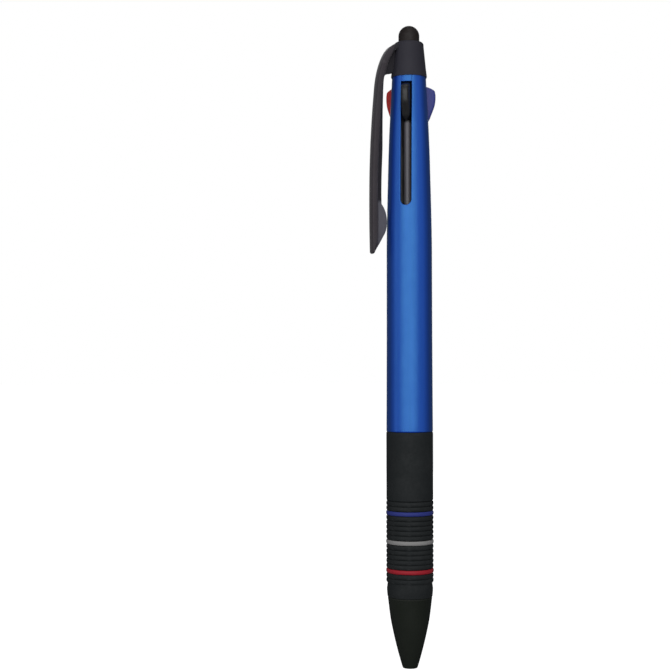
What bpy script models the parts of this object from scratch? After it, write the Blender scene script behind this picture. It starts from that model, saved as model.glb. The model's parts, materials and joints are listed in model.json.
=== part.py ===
"""Three-colour click pen with a pocket clip and a stylus end.

The pen stands upright on its own axis, nose down, and the clip is on the -X side. Sizes are in
millimetres: a height is measured up from the nose end, and a radius out from the pen's axis. The
frame's origin is the pen's balance point, so every piece hangs from an empty at the nose end.

Pushing a slider down carries its stem, refill tube, point and ball down along the axis. The tube
bends inwards on its way to the nose, so each point comes out close to the middle of the opening.
"""

import math

import bmesh
import bpy
from mathutils import Matrix

MM = 0.001
WELD_DISTANCE = 0.0001 * MM

# The whole pen
PEN_LENGTH = 148.0
BALANCE_HEIGHT = 72.8
ROUND_SIDES = 30
SMALL_SIDES = 10
BALL_SIDES = 8
HOLE_SIDES = 12

# Where the main pieces meet, as heights
NOSE_TOP = 16.3
GRIP_TOP = 54.1
BARREL_BOTTOM = 54.2
BARREL_TOP = 136.0
CAP_TOP = 144.1
MESH_GAP = 0.1

# Sliders and slots, one every third of a turn; the clip stands between black and red
SLIDER_ANGLES = {"black": -120.0, "blue": 0.0, "red": 120.0}
SLOT_WIDTH = 2.45
SLOT_BOTTOM = 106.0
KEY_BOTTOM = 134.5
KEY_NECK_TOP = 140.2
BUTTON_WIDTH = 1.95
STEM_RADIUS = 0.95
STEM_BOTTOM = 104.0
STEM_TOP = 134.2
STEM_PEG_LENGTH = 4.2
SEAT_RADIUS = 1.4
SEAT_THICKNESS = 1.2

# Refills: a slider's travel brings its ball from behind the opening to just past it
SLIDER_TRAVEL = 16.0
BALL_STICKS_OUT = 2.3
REFILL_BOTTOM = SLIDER_TRAVEL - BALL_STICKS_OUT
REFILL_RADIUS_UP = 1.95
BALL_RADIUS = 0.28
BALL_OFF_AXIS = 0.47
POINT_SLOPE = 0.1
STRAIGHT_LENGTH = 12.0
TUBE_RADIUS = 1.1
TUBE_BORE = 0.78
COLLAR_RADIUS = 1.12
POINT_LENGTH = 9.0
COLLAR_LENGTH = 1.5
PLUG_RADIUS = 0.7

# Return springs, round the tubes, from the plate up to the stems' seats
SPRING_COILS = 8
SPRING_STEPS = 9
SPRING_WIRE_RADIUS = 0.15
SPRING_RADIUS = 1.375
PLATE_TOP = 76.1
PLATE_THICKNESS = 1.2
PLATE_RADIUS = 4.28
PLATE_HOLE_RADIUS = 1.25

# Screw joint between the grip and the barrel
THREAD_PITCH = 1.25
THREAD_TURNS = 4
THREAD_TOP = 62.5
THREAD_ROOT_RADIUS = 4.28
THREAD_CREST_RADIUS = 4.46
SPIGOT_TOP = 62.9
CORE_RADIUS = 4.1
CORE_BORE = 3.4
CORE_BOTTOM = 12.9

# Grip: ribs and rings share one pitch, and a ring takes the place of every sixth rib
RIB_PITCH = 1.1
RIB_CREST = 5.43
RIB_VALLEY = 5.15
GRIP_RADIUS = 5.37
GRIP_BORE = 4.2
TOP_RING_HEIGHT = 35.6
RING_PLACES = {"blue": 0, "white": 6, "red": 12}
FIRST_RIB = -2
LAST_RIB = 14
RING_WIDTH = 0.95
RING_RADIUS = 5.48
RING_BORE = 4.95
GROOVE_RADIUS = 4.85

# Clip
CLIP_WIDTH = 2.9
RIB_WIDTH = 1.3
CLIP_HINGE = (6.3, 137.3)
BAND_THICKNESS = 1.4

COLOURS = {
    "soft_black": ((0.03, 0.028, 0.03, 1.0), 0.55, 0.0),
    "rubber_black": ((0.025, 0.024, 0.025, 1.0), 0.8, 0.0),
    "barrel_blue": ((0.01, 0.09, 0.42, 1.0), 0.28, 0.8),
    "slider_black": ((0.02, 0.02, 0.022, 1.0), 0.35, 0.0),
    "slider_blue": ((0.06, 0.05, 0.36, 1.0), 0.35, 0.0),
    "slider_red": ((0.42, 0.03, 0.02, 1.0), 0.35, 0.0),
    "ring_blue": ((0.05, 0.04, 0.3, 1.0), 0.5, 0.0),
    "ring_white": ((0.5, 0.48, 0.46, 1.0), 0.5, 0.0),
    "ring_red": ((0.6, 0.03, 0.06, 1.0), 0.5, 0.0),
    "inner_plastic": ((0.55, 0.55, 0.53, 1.0), 0.5, 0.0),
    "tube_black": ((0.05, 0.05, 0.06, 1.0), 0.3, 0.0),
    "tube_blue": ((0.04, 0.07, 0.4, 1.0), 0.3, 0.0),
    "tube_red": ((0.5, 0.04, 0.04, 1.0), 0.3, 0.0),
    "point_metal": ((0.62, 0.52, 0.3, 1.0), 0.25, 1.0),
    "ball_metal": ((0.55, 0.55, 0.57, 1.0), 0.15, 1.0),
    "spring_steel": ((0.6, 0.6, 0.62, 1.0), 0.25, 1.0),
}


def clear_scene():
    for obj in list(bpy.data.objects):
        bpy.data.objects.remove(obj, do_unlink=True)


def material(name):
    """The named finish, made once."""
    if name in bpy.data.materials:
        return bpy.data.materials[name]
    colour, roughness, metallic = COLOURS[name]
    made = bpy.data.materials.new(name)
    made.use_nodes = True
    shader = made.node_tree.nodes["Principled BSDF"]
    shader.inputs["Base Color"].default_value = colour
    shader.inputs["Roughness"].default_value = roughness
    shader.inputs["Metallic"].default_value = metallic
    return made


def empty(name, height, parent=None):
    """An empty on the pen's axis, which pieces are placed from."""
    made = bpy.data.objects.new(name, None)
    made.location.z = height * MM
    made.parent = parent
    bpy.context.collection.objects.link(made)
    return made


def finish_object(name, bm, finish, parent, angle=0.0):
    """Turn a bmesh into a named object hanging from its parent, turned about the pen's axis."""
    bmesh.ops.remove_doubles(bm, verts=bm.verts, dist=WELD_DISTANCE)
    bmesh.ops.recalc_face_normals(bm, faces=bm.faces)
    mesh = bpy.data.meshes.new(name)
    bm.to_mesh(mesh)
    bm.free()
    mesh.shade_smooth()
    mesh.set_sharp_from_angle(angle=math.radians(35))
    mesh.materials.append(material(finish))
    obj = bpy.data.objects.new(name, mesh)
    obj.parent = parent
    obj.rotation_euler.z = math.radians(angle)
    bpy.context.collection.objects.link(obj)
    return obj


def turned(profile, sides=ROUND_SIDES, centre=0.0):
    """Spin a section, (radius, height) pairs in order round it, about an axis that is centre out."""
    bm = bmesh.new()
    verts = [bm.verts.new((radius * MM, 0, height * MM)) for radius, height in profile]
    pairs = zip(profile, profile[1:] + profile[:1], verts, verts[1:] + verts[:1])
    edges = [bm.edges.new((v, w)) for p, q, v, w in pairs if p[0] > 0 or q[0] > 0]
    bmesh.ops.spin(
        bm,
        geom=verts + edges,
        axis=(0, 0, 1),
        cent=(0, 0, 0),
        angle=2 * math.pi,
        steps=sides,
        use_merge=True,
    )
    bmesh.ops.remove_doubles(bm, verts=bm.verts, dist=WELD_DISTANCE)
    bmesh.ops.translate(bm, verts=bm.verts, vec=(centre * MM, 0, 0))
    return bm


def add_slab(bm, outline, width):
    """Add an upright plate to bm: its outline is (radius, height) pairs, and it is width thick in Y."""
    verts = [bm.verts.new((x * MM, -width / 2 * MM, z * MM)) for x, z in outline]
    face = bm.faces.new(verts)
    pushed = bmesh.ops.extrude_face_region(bm, geom=[face])["geom"]
    moved = [item for item in pushed if isinstance(item, bmesh.types.BMVert)]
    bmesh.ops.translate(bm, verts=moved, vec=(0, width * MM, 0))
    return verts + moved


def slab(outline, width):
    bm = bmesh.new()
    add_slab(bm, outline, width)
    return bm


def tool(name, bm, parent, angle=0.0):
    """A hidden shape that a Boolean joins on or cuts away."""
    obj = finish_object(name, bm, "inner_plastic", parent, angle)
    obj.hide_render = True
    obj.display_type = "WIRE"
    return obj


def boolean(obj, other, operation):
    modifier = obj.modifiers.new(f"{operation.lower()}_{other.name}", "BOOLEAN")
    modifier.operation = operation
    modifier.solver = "EXACT"
    modifier.object = other


def arc(centre, radius, start, end, steps):
    """Points on an arc, angles in degrees from +X towards the second axis."""
    angles = [math.radians(start + (end - start) * k / steps) for k in range(steps + 1)]
    return [(centre[0] + radius * math.cos(a), centre[1] + radius * math.sin(a)) for a in angles]


def refill_offset(height):
    """How far a refill's middle is from the pen's axis, at a height on the drawn-back refill."""
    along = height - REFILL_BOTTOM
    straight_end = BALL_OFF_AXIS + POINT_SLOPE * STRAIGHT_LENGTH
    bend_length = 2 * (REFILL_RADIUS_UP - straight_end) / POINT_SLOPE
    if along <= STRAIGHT_LENGTH:
        return BALL_OFF_AXIS + POINT_SLOPE * along
    left = max(0.0, STRAIGHT_LENGTH + bend_length - along)
    return REFILL_RADIUS_UP - POINT_SLOPE / (2 * bend_length) * left**2


def bend_refill(bm):
    """Lean a straight refill piece inwards along the refill's middle line."""
    for vert in bm.verts:
        vert.co.x += refill_offset(vert.co.z / MM) * MM
    return bm


def make_stylus(parent):
    dome_radius = 2.42
    dome_centre = PEN_LENGTH - dome_radius
    base = CAP_TOP + 0.6
    bore = 1.55
    bore_top = 146.5
    dome = arc((0, dome_centre), dome_radius, 0, 90, 6)[:-1]
    profile = [(0, PEN_LENGTH), (0, bore_top), (bore, bore_top), (bore, base), (dome_radius - 0.15, base)]
    profile += [(dome_radius, base + 0.2)] + dome
    finish_object("stylus_tip", turned(profile), "rubber_black", parent)
    stud = [(0, 146.3), (0, 140.8), (1.9, 140.8), (1.9, CAP_TOP + 0.1), (2.3, CAP_TOP + 0.1)]
    stud += [(2.3, base - 0.1), (1.4, base - 0.1), (1.4, 146.3)]
    finish_object("stylus_plug", turned(stud), "inner_plastic", parent)


def make_cap(parent):
    """The cap has a wide bore below for the key ring's neck and a narrow one above for the stylus stud."""
    neck_bore, stud_bore, bore_step = 2.8, 2.0, 140.6
    profile = [(neck_bore, 136.2), (neck_bore, bore_step), (stud_bore, bore_step), (stud_bore, CAP_TOP)]
    profile += [(2.65, CAP_TOP)] + arc((2.65, 143.55), 0.55, 90, 15, 3)[1:]
    profile += [(3.36, 141.8), (3.52, 140.0), (3.78, 138.0), (4.06, 136.5), (4.0, 136.2)]
    cap = finish_object("top_cap", turned(profile), "soft_black", parent)
    root = [(2.55, 144.0), (4.1, 143.7), (5.3, 142.7), (6.1, 141.6), (7.0, 139.9), (7.5, 138.5)]
    root += [(4.95, 136.4), (3.35, 137.1), (3.1, 141.0)]
    boolean(cap, tool("clip_root", slab(root, CLIP_WIDTH), parent, 180), "UNION")


def make_clip(parent):
    """The springy arm: a wide outer band with a narrow rib behind it, and a pad that meets the barrel."""
    band_outside = [(7.65, 138.15), (8.1, 136.4), (8.5, 134.0), (8.7, 130.9), (9.0, 127.3), (9.2, 123.1)]
    band_outside += [(9.4, 120.2), (9.55, 114.3), (9.6, 108.8), (9.6, 96.3), (9.2, 95.4)]
    band_inside = [(r - BAND_THICKNESS, z) for r, z in reversed(band_outside[1:-1])]
    band = band_outside + [(8.4, 95.5)] + band_inside + [(6.5, 137.0)]
    rib = [(7.0, 137.2), (5.1, 136.0), (5.95, 134.9), (6.45, 130.9), (6.45, 121.4), (6.7, 116.8)]
    rib += [(6.7, 106.7), (6.3, 105.9), (5.9, 104.9), (5.5, 103.5), (5.45, 102.8), (5.45, 101.8)]
    rib += [(5.55, 100.9), (6.0, 100.0), (7.5, 97.5), (7.8, 96.3), (8.9, 96.3), (8.9, 114.0), (8.6, 122.0)]
    rib += [(8.2, 130.5), (7.7, 135.5)]
    hinge_radius, hinge_height = CLIP_HINGE
    bm = slab(band, CLIP_WIDTH)
    clip = finish_object("clip_arm", bm, "soft_black", parent, 180)
    boolean(clip, tool("clip_rib", slab(rib, RIB_WIDTH), parent, 180), "UNION")
    hinge = empty("clip_hinge", hinge_height, parent)
    hinge.location.x = -hinge_radius * MM
    clip.parent = hinge
    clip.matrix_parent_inverse = Matrix.Translation(-hinge.location)


def make_barrel(parent):
    outside = [(5.35, BARREL_BOTTOM), (5.26, 75.0), (5.21, 98.5), (5.08, 105.5), (4.91, 112.4), (4.72, 119.3)]
    outside += [(4.52, 124.2), (4.3, 128.2), (4.13, 131.4), (3.93, BARREL_TOP)]
    inside = [(3.05, BARREL_TOP), (3.15, 131.0), (3.5, 125.0), (3.75, 119.0), (3.95, 113.0), (4.1, 107.0)]
    inside += [(4.2, 99.0), (4.2, PLATE_TOP + MESH_GAP), (4.35, PLATE_TOP + MESH_GAP), (4.35, 63.6)]
    inside += [(4.55, 63.4), (4.55, BARREL_BOTTOM)]
    barrel = finish_object("upper_barrel", turned(outside + inside), "barrel_blue", parent)
    boolean(barrel, tool("slot_cutter", slot_prisms(), parent), "DIFFERENCE")


def slot_prisms():
    """Three upright slots with round lower ends, open at the barrel's top."""
    half = SLOT_WIDTH / 2
    inner, outer, top = 2.2, 7.0, BARREL_TOP + 1.0
    outline = arc((0, SLOT_BOTTOM + half), half, 180, 360, 6) + [(half, top), (-half, top)]
    bm = bmesh.new()
    for angle in SLIDER_ANGLES.values():
        verts = [bm.verts.new((inner * MM, y * MM, z * MM)) for y, z in outline]
        face = bm.faces.new(verts)
        pushed = bmesh.ops.extrude_face_region(bm, geom=[face])["geom"]
        moved = [item for item in pushed if isinstance(item, bmesh.types.BMVert)]
        bmesh.ops.translate(bm, verts=moved, vec=((outer - inner) * MM, 0, 0))
        turn = Matrix.Rotation(math.radians(angle), 3, "Z")
        bmesh.ops.rotate(bm, verts=verts + moved, cent=(0, 0, 0), matrix=turn)
    return bm


def make_key_ring(parent):
    """A ring inside the barrel's top whose three keys close the slots; its neck goes up into the cap."""
    bore, neck, body = 2.0, 2.7, 2.95
    body_top = BARREL_TOP - 0.05
    profile = [(bore, KEY_BOTTOM), (body, KEY_BOTTOM), (body, body_top), (neck, body_top)]
    profile += [(neck, KEY_NECK_TOP), (bore, KEY_NECK_TOP)]
    ring = finish_object("slot_key_ring", turned(profile), "barrel_blue", parent)
    key_root, key_top = 2.5, BARREL_TOP - MESH_GAP
    key = [(key_root, KEY_BOTTOM), (3.96, KEY_BOTTOM), (3.92, key_top), (key_root, key_top)]
    bm = bmesh.new()
    for angle in SLIDER_ANGLES.values():
        verts = add_slab(bm, key, SLOT_WIDTH - MESH_GAP)
        turn = Matrix.Rotation(math.radians(angle), 3, "Z")
        bmesh.ops.rotate(bm, verts=verts, cent=(0, 0, 0), matrix=turn)
    boolean(ring, tool("slot_keys", bm, parent), "UNION")


def make_core(parent):
    """A round rod whose three fins stand between the stems and reach out almost to the barrel's wall."""
    rod, head = 0.72, 1.9
    bottom, top = 105.35, KEY_NECK_TOP - 0.4
    profile = [(0, top), (0, bottom), (rod, bottom), (rod, KEY_BOTTOM), (head, KEY_BOTTOM), (head, top)]
    core = finish_object("slider_core", turned(profile), "inner_plastic", parent)
    fin_width, fin_root, fin_step = 0.5, 0.3, 1.6
    fin_bottom, fin_top, fin_end = bottom + 0.1, KEY_BOTTOM - 0.03, KEY_BOTTOM + 0.3
    fin = [(fin_root, fin_bottom), (3.9, fin_bottom), (3.6, 119.0), (3.3, 125.0), (2.85, fin_top)]
    fin += [(fin_step, fin_top), (fin_step, fin_end), (fin_root, fin_end)]
    bm = bmesh.new()
    for angle in SLIDER_ANGLES.values():
        verts = add_slab(bm, fin, fin_width)
        turn = Matrix.Rotation(math.radians(angle + 180), 3, "Z")
        bmesh.ops.rotate(bm, verts=verts, cent=(0, 0, 0), matrix=turn)
    boolean(core, tool("core_fins", bm, parent), "UNION")


def make_slider(colour, carrier):
    """Thumb button and web in one plate, on a round stem whose foot presses the spring."""
    button = [(2.0, 126.2), (3.4, 125.6), (4.42, 125.5), (5.33, 127.4), (6.2, 129.5), (6.44, 130.7)]
    button += [(6.5, 131.7), (6.4, 132.7), (6.12, 133.3), (4.1, 134.0), (2.0, 134.0)]
    slider = finish_object(f"slider_{colour}", slab(button, BUTTON_WIDTH), f"slider_{colour}", carrier)
    bevel = slider.modifiers.new("soft_edges", "BEVEL")
    bevel.width = 0.25 * MM
    bevel.segments = 2
    bevel.limit_method = "ANGLE"
    bevel.angle_limit = math.radians(60)
    seat_top = STEM_BOTTOM + SEAT_THICKNESS
    peg_bottom = STEM_BOTTOM - STEM_PEG_LENGTH
    stem = [(0, STEM_TOP), (0, peg_bottom), (PLUG_RADIUS, peg_bottom), (PLUG_RADIUS, STEM_BOTTOM)]
    stem += [(SEAT_RADIUS, STEM_BOTTOM), (SEAT_RADIUS, seat_top), (STEM_RADIUS, seat_top)]
    stem.append((STEM_RADIUS, STEM_TOP))
    shape = turned(stem, SMALL_SIDES, REFILL_RADIUS_UP)
    boolean(slider, tool(f"stem_{colour}", shape, carrier), "UNION")


def make_refill(colour, carrier):
    """Hollow tube, needle point with its collar and plug, and the ball in the end of the point."""
    bottom = REFILL_BOTTOM
    name = f"refill_tube_{colour}"
    collar_bottom = bottom + POINT_LENGTH
    tube_bottom = collar_bottom + COLLAR_LENGTH + MESH_GAP
    tube_top = STEM_BOTTOM - MESH_GAP
    bend_end = bottom + STRAIGHT_LENGTH + 6.0
    bend_steps = 5
    heights = [tube_bottom + (bend_end - tube_bottom) * k / bend_steps for k in range(bend_steps + 1)]
    heights.append(tube_top)
    profile = [(TUBE_RADIUS, z) for z in heights] + [(TUBE_BORE, z) for z in reversed(heights)]
    finish_object(name, bend_refill(turned(profile, SMALL_SIDES)), f"tube_{colour}", carrier)

    collar_top = collar_bottom + COLLAR_LENGTH
    plug_top = tube_bottom + 4.0
    lip, socket_top = bottom + 0.32, bottom + 0.8
    point = [(0, plug_top), (0, socket_top), (0.22, socket_top), (0.3, lip), (0.36, lip)]
    point += [(0.5, bottom + 2.5), (0.6, bottom + 5.5), (0.62, collar_bottom - 0.5)]
    point += [(COLLAR_RADIUS, collar_bottom), (COLLAR_RADIUS, collar_top), (PLUG_RADIUS, collar_top)]
    point.append((PLUG_RADIUS, plug_top))
    finish_object(f"refill_tip_{colour}", bend_refill(turned(point, SMALL_SIDES)), "point_metal", carrier)

    ball = arc((0, bottom + BALL_RADIUS), BALL_RADIUS, -90, 90, 6)
    ball = [(0, bottom)] + ball[1:-1] + [(0, bottom + 2 * BALL_RADIUS)]
    finish_object(f"writing_ball_{colour}", bend_refill(turned(ball, BALL_SIDES)), "ball_metal", carrier)


def make_spring(colour, carrier):
    """A coil that stands on the plate and presses up against the stem's seat."""
    bottom = PLATE_TOP + 2 * SPRING_WIRE_RADIUS
    top = STEM_BOTTOM - 2 * SPRING_WIRE_RADIUS
    count = SPRING_COILS * SPRING_STEPS
    curve = bpy.data.curves.new(f"return_spring_{colour}", "CURVE")
    curve.dimensions = "3D"
    curve.bevel_depth = SPRING_WIRE_RADIUS * MM
    curve.bevel_resolution = 0
    curve.use_fill_caps = True
    spline = curve.splines.new("POLY")
    spline.points.add(count)
    for k, point in enumerate(spline.points):
        turn = 2 * math.pi * k / SPRING_STEPS
        x = REFILL_RADIUS_UP + SPRING_RADIUS * math.cos(turn)
        y = SPRING_RADIUS * math.sin(turn)
        z = bottom + (top - bottom) * k / count
        point.co = (x * MM, y * MM, z * MM, 1)
    curve.materials.append(material("spring_steel"))
    spring = bpy.data.objects.new(f"return_spring_{colour}", curve)
    spring.parent = carrier
    bpy.context.collection.objects.link(spring)


def make_plate(parent):
    bottom = PLATE_TOP - PLATE_THICKNESS
    profile = [(0, bottom), (PLATE_RADIUS, bottom), (PLATE_RADIUS, PLATE_TOP), (0, PLATE_TOP)]
    plate = finish_object("spring_plate", turned(profile), "inner_plastic", parent)
    low, high = bottom - 1, PLATE_TOP + 1
    hole = [(0, high), (0, low), (PLATE_HOLE_RADIUS, low), (PLATE_HOLE_RADIUS, high)]
    for colour, angle in SLIDER_ANGLES.items():
        cutter = tool(f"plate_hole_{colour}", turned(hole, HOLE_SIDES, REFILL_RADIUS_UP), parent, angle)
        boolean(plate, cutter, "DIFFERENCE")


def make_lower_barrel(parent):
    """The inner barrel under the grip, with the screw thread's ridges round the top of its spigot."""
    thread_bottom = THREAD_TOP - THREAD_PITCH * THREAD_TURNS
    outside = [(CORE_BORE, CORE_BOTTOM), (4.0, CORE_BOTTOM), (CORE_RADIUS, 13.3), (CORE_RADIUS, GRIP_TOP)]
    outside += [(THREAD_ROOT_RADIUS, GRIP_TOP + MESH_GAP), (THREAD_ROOT_RADIUS, thread_bottom)]
    for turn in range(THREAD_TURNS):
        start = thread_bottom + THREAD_PITCH * turn
        outside.append((THREAD_CREST_RADIUS, start + THREAD_PITCH / 2))
        outside.append((THREAD_ROOT_RADIUS, start + THREAD_PITCH))
    outside += [(4.1, SPIGOT_TOP), (CORE_BORE, SPIGOT_TOP)]
    finish_object("lower_barrel", turned(outside), "inner_plastic", parent)


def make_grip(parent):
    """The sleeve's ribs follow one pitch; where a ring goes there is a square groove instead of a rib."""
    groove = (RING_WIDTH + MESH_GAP) / 2
    shoulder = TOP_RING_HEIGHT - FIRST_RIB * RIB_PITCH + RIB_PITCH / 2
    profile = [(GRIP_BORE, GRIP_TOP), (GRIP_RADIUS, GRIP_TOP), (GRIP_RADIUS, shoulder + 0.6)]
    profile.append((RIB_VALLEY, shoulder))
    for place in range(FIRST_RIB, LAST_RIB + 1):
        height = TOP_RING_HEIGHT - place * RIB_PITCH
        if place in RING_PLACES.values():
            profile += [(RIB_VALLEY, height + groove), (GROOVE_RADIUS, height + groove)]
            profile += [(GROOVE_RADIUS, height - groove), (RIB_VALLEY, height - groove)]
            continue
        profile.append((RIB_CREST, height))
        if place + 1 not in RING_PLACES.values():
            profile.append((RIB_VALLEY, height - RIB_PITCH / 2))
    profile += [(GRIP_RADIUS, 18.0), (5.1, NOSE_TOP + MESH_GAP), (GRIP_BORE, NOSE_TOP + MESH_GAP)]
    finish_object("grip_sleeve", turned(profile), "rubber_black", parent)


def make_ring(colour, parent):
    height = TOP_RING_HEIGHT - RING_PLACES[colour] * RIB_PITCH
    low, high = height - RING_WIDTH / 2, height + RING_WIDTH / 2
    profile = [(RING_BORE, low), (5.4, low), (RING_RADIUS, height), (5.4, high), (RING_BORE, high)]
    finish_object(f"grip_ring_{colour}", turned(profile), f"ring_{colour}", parent)


def make_nose(parent):
    """The bore leaves room for all three points at once, each leaning in towards the opening."""
    outside = [(1.3, 0), (1.65, 0), (1.8, 0.15), (1.87, 0.5), (2.2, 1.7), (2.84, 4.0), (3.42, 6.3)]
    outside += [(3.94, 8.6), (4.4, 10.9), (4.73, 13.2), (5.0, 15.5), (5.06, NOSE_TOP)]
    inside = [(4.2, NOSE_TOP), (4.2, CORE_BOTTOM - MESH_GAP), (3.2, CORE_BOTTOM - MESH_GAP), (2.95, 9.7)]
    inside += [(2.8, 8.2), (2.66, 6.3), (2.15, 5.9), (1.82, 3.2)]
    finish_object("nose_cone", turned(outside + inside), "soft_black", parent)


def main():
    clear_scene()
    nose_end = empty("nose_end", -BALANCE_HEIGHT)
    make_stylus(nose_end)
    make_cap(nose_end)
    make_clip(nose_end)
    make_barrel(nose_end)
    make_key_ring(nose_end)
    make_core(nose_end)
    make_plate(nose_end)
    for colour, angle in SLIDER_ANGLES.items():
        carrier = empty(f"{colour}_carrier", 0.0, nose_end)
        carrier.rotation_euler.z = math.radians(angle)
        make_slider(colour, carrier)
        make_refill(colour, carrier)
        make_spring(colour, carrier)
    front = empty("front_thread_axis", 0.0, nose_end)
    make_lower_barrel(front)
    make_grip(front)
    for colour in RING_PLACES:
        make_ring(colour, front)
    make_nose(front)


main()
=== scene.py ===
"""Looks for the three-colour click pen: fine meshes, finishes, studio light and camera.

Shapes are worked out in millimetres, as a radius out from the pen's axis and a height above the nose
end, and turned into metres in the frame when a piece is made. The slots, sliders and refills repeat
every third of a turn. Each piece stands for one CAD node; all but the clip ride on that node's body.
"""

import json
import math

import bmesh
import bpy
import numpy as np
from mathutils import Matrix, Vector

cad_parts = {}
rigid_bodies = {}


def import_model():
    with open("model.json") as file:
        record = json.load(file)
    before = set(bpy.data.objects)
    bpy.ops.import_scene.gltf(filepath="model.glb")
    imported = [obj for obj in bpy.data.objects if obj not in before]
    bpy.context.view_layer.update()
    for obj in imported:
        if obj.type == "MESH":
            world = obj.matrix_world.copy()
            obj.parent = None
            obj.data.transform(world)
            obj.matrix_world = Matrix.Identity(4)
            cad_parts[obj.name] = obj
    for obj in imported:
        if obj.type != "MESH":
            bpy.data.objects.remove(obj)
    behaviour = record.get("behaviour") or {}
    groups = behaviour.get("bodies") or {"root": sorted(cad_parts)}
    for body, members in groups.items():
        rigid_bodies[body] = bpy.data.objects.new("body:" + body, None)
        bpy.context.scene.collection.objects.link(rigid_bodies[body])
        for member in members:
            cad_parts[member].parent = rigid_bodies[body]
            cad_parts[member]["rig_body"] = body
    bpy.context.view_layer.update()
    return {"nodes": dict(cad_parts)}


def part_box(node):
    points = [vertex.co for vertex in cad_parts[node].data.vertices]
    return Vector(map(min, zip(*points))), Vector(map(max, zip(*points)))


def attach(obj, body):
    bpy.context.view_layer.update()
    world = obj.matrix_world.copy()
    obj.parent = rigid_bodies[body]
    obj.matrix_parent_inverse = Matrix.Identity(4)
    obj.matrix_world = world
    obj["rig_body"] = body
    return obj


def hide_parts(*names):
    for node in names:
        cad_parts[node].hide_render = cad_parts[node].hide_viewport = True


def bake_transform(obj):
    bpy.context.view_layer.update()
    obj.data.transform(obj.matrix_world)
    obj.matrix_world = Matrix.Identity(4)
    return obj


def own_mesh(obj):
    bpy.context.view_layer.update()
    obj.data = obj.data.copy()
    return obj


MM = 0.001
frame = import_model()
NOSE_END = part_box("nose_cone")[0].z


def span(node):
    """A CAD node's lowest and highest height, in millimetres above the nose end."""
    low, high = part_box(node)
    return (low.z - NOSE_END) / MM, (high.z - NOSE_END) / MM


# Fineness
ROUND_SIDES = 96
SMALL_SIDES = 28
SHARP_ANGLE = math.radians(38)
WELD = 0.0004

# Sliders and slots, in degrees from +X
SLIDER_ANGLES = {"black": -120.0, "blue": 0.0, "red": 120.0}
SLOT_HALF = 1.27
SLOT_LOW = 106.0
SLOT_EDGE = 0.12
STEM_OUT = 1.95
STEM_RADIUS = 0.92

# Heights that pieces share
CAP_LOW, CAP_HIGH = span("top_cap")
KEY_LOW, NECK_HIGH = span("slot_key_ring")
GRIP_LOW, GRIP_HIGH = span("grip_sleeve")
BARREL_LOW, BARREL_HIGH = GRIP_HIGH + 0.06, span("upper_barrel")[1]
SPIGOT_LOW, SPIGOT_HIGH = span("lower_barrel")
SPRING_LOW, SPRING_HIGH = span("return_spring_blue")

# Grip
RIB_PITCH = 1.1
RIB_VALLEY = 5.12
RIB_CREST = 5.43
GRIP_RADIUS = 5.38
LAST_RIB_PLACE = 14
RING_PLACES = {"blue": 0, "white": 6, "red": 12}

# Screw thread
THREAD_PITCH = 1.25
THREAD_LOW, THREAD_HIGH = 57.5, 62.4
THREAD_ROOT = 4.24
THREAD_DEPTH = 0.22

# The upper barrel's wall, as radius and height
BARREL_OUTSIDE = [(5.35, 54.0), (5.31, 62.0), (5.26, 75.0), (5.24, 88.0), (5.21, 98.5)]
BARREL_OUTSIDE += [(5.08, 105.5), (4.91, 112.4), (4.72, 119.3), (4.52, 124.2), (4.3, 128.2)]
BARREL_OUTSIDE += [(4.13, 131.4), (3.93, 136.0)]
BARREL_INSIDE = [(4.55, 54.0), (4.55, 62.6), (4.34, 64.2), (4.34, 75.9), (4.22, 77.0), (4.2, 99.0)]
BARREL_INSIDE += [(4.1, 107.0), (3.95, 113.0), (3.75, 119.0), (3.5, 125.0), (3.15, 131.0)]
BARREL_INSIDE += [(3.05, 136.0)]

# The clip: lines along the back of its band as X, height and lean, and the top of its bump; they also
# bound the clip's painted shade and painted highlight
BAND_BACK = [(-7.95, 110.0, 0.0), (-7.6, 120.6, 0.053), (-6.75, 134.0, 0.29)]
BUMP_TOP = 106.6

# Side view of a thumb button's face, as radius and height
BUTTON_FRONT = [(4.42, 125.5), (4.85, 126.15), (5.33, 127.3), (5.86, 128.6), (6.22, 129.55)]
BUTTON_FRONT += [(6.44, 130.7), (6.5, 131.7), (6.42, 132.6), (6.15, 133.25), (5.6, 133.55)]
BUTTON_FRONT += [(4.8, 133.85), (4.1, 134.05)]


# ---------------------------------------------------------------- shapes


def turns_of(sides):
    """Evenly spread angles, once round."""
    return [2 * math.pi * k / sides for k in range(sides)]


def quarter_turn(steps):
    """Angles from 0 to a right angle, both included."""
    return [math.pi / 2 * k / steps for k in range(steps + 1)]


def radius_along(points):
    """The radius at any height on a smooth line through (radius, height) points in rising order."""
    radii = np.array([p[0] for p in points])
    heights = np.array([p[1] for p in points])
    slopes = np.gradient(radii, heights)

    def radius(height):
        k = int(np.clip(np.searchsorted(heights, height) - 1, 0, len(points) - 2))
        gap = heights[k + 1] - heights[k]
        t = min(max((height - heights[k]) / gap, 0.0), 1.0)
        value = (2 * t**3 - 3 * t**2 + 1) * radii[k] + (3 * t**2 - 2 * t**3) * radii[k + 1]
        value += (t**3 - 2 * t**2 + t) * gap * slopes[k] + (t**3 - t**2) * gap * slopes[k + 1]
        return float(value)

    return radius


def through(points, steps):
    """An open smooth line through the points, in steps pieces from each to the next."""
    p = [Vector(q) for q in points]
    p = [2 * p[0] - p[1]] + p + [2 * p[-1] - p[-2]]
    line = []
    for k in range(1, len(p) - 2):
        slope = p[k + 1] - p[k - 1]
        bend = 2 * p[k - 1] - 5 * p[k] + 4 * p[k + 1] - p[k + 2]
        twist = 3 * p[k] - p[k - 1] - 3 * p[k + 1] + p[k + 2]
        for step in range(steps):
            t = step / steps
            line.append(0.5 * (2 * p[k] + slope * t + bend * t**2 + twist * t**3))
    return line + [p[-2]]


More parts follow.
